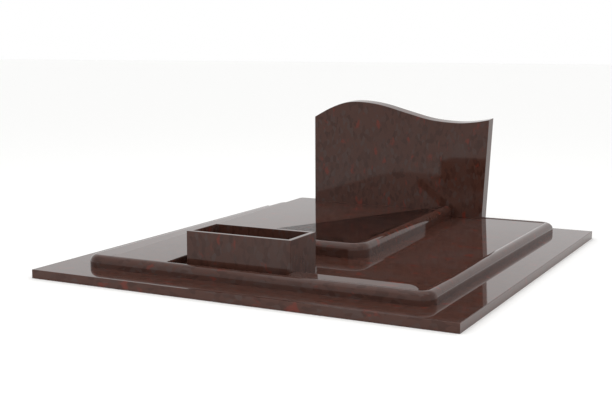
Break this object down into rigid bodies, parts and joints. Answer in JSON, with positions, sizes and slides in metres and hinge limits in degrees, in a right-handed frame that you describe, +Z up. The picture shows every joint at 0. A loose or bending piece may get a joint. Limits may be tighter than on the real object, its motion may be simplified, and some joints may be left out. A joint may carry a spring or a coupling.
{
  "type": "granite grave monument",
  "caption": "Polished granite grave monument: base slab, carved grave slab with rounded kerb and raised field, wavy-topped headstone and an open planter box.",
  "frame": {"origin": "middle of the base slab's underside, on the ground", "axes": "+X to the right as a visitor faces the headstone, +Y from the front of the grave to the headstone, +Z up"},
  "size_m": [2.357, 2.515, 0.8415],
  "materials": {
    "polished_granite": null
  },
  "bodies": {
    "root": {"base_slab": "polished_granite", "carved_slab": "polished_granite", "headstone": "polished_granite", "planter_box": "polished_granite"}
  },
  "joints": []
}
